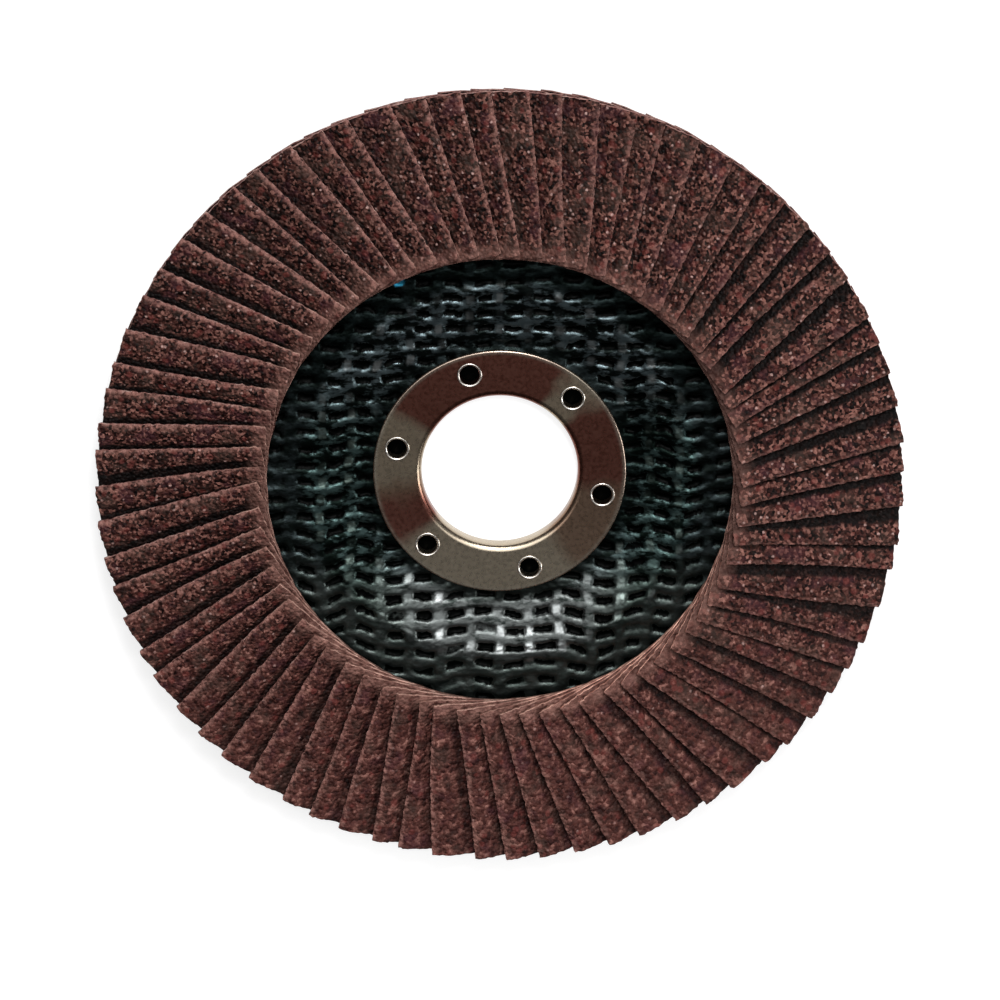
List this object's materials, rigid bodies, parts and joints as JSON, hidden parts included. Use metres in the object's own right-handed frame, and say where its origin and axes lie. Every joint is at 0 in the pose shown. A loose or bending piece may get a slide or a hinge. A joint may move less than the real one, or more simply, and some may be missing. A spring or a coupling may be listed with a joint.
{
  "type": "flap disc",
  "caption": "Flat grinding disc of overlapping abrasive flaps bonded round a dished fibreglass plate with a pressed steel ring in its bore.",
  "frame": {"origin": "centre of the bore on the rear seating face of the hub, the lowest plane of the disc", "axes": "+Z along the bore axis towards the abrasive side; +X and +Y lie in the disc's plane, with one flap's centreline along +X"},
  "size_m": [0.115, 0.115, 0.0104],
  "materials": {
    "abrasive_cloth": "coarse brown aluminium oxide grain on resin-filled cloth",
    "fibreglass": "black resin over a plain glass weave, glossy",
    "plated_steel": "smooth bright plating",
    "bonding_resin": "hard brown resin, slightly glossy"
  },
  "bodies": {
    "root": {"backing_plate": "fibreglass", "centre_ring": "plated_steel", "adhesive_bed": "bonding_resin", "flap_pair_01": "abrasive_cloth", "flap_pair_02": "abrasive_cloth", "flap_pair_03": "abrasive_cloth", "flap_pair_04": "abrasive_cloth", "flap_pair_05": "abrasive_cloth", "flap_pair_06": "abrasive_cloth", "flap_pair_07": "abrasive_cloth", "flap_pair_08": "abrasive_cloth", "flap_pair_09": "abrasive_cloth", "flap_pair_10": "abrasive_cloth", "flap_pair_11": "abrasive_cloth", "flap_pair_12": "abrasive_cloth", "flap_pair_13": "abrasive_cloth", "flap_pair_14": "abrasive_cloth", "flap_pair_15": "abrasive_cloth", "flap_pair_16": "abrasive_cloth", "flap_pair_17": "abrasive_cloth", "flap_pair_18": "abrasive_cloth", "flap_pair_19": "abrasive_cloth", "flap_pair_20": "abrasive_cloth", "flap_pair_21": "abrasive_cloth", "flap_pair_22": "abrasive_cloth", "flap_pair_23": "abrasive_cloth", "flap_pair_24": "abrasive_cloth", "flap_pair_25": "abrasive_cloth", "flap_pair_26": "abrasive_cloth", "flap_pair_27": "abrasive_cloth", "flap_pair_28": "abrasive_cloth", "flap_pair_29": "abrasive_cloth", "flap_pair_30": "abrasive_cloth", "flap_pair_31": "abrasive_cloth", "flap_pair_32": "abrasive_cloth", "flap_pair_33": "abrasive_cloth", "flap_pair_34": "abrasive_cloth", "flap_pair_35": "abrasive_cloth", "flap_pair_36": "abrasive_cloth"}
  },
  "joints": []
}
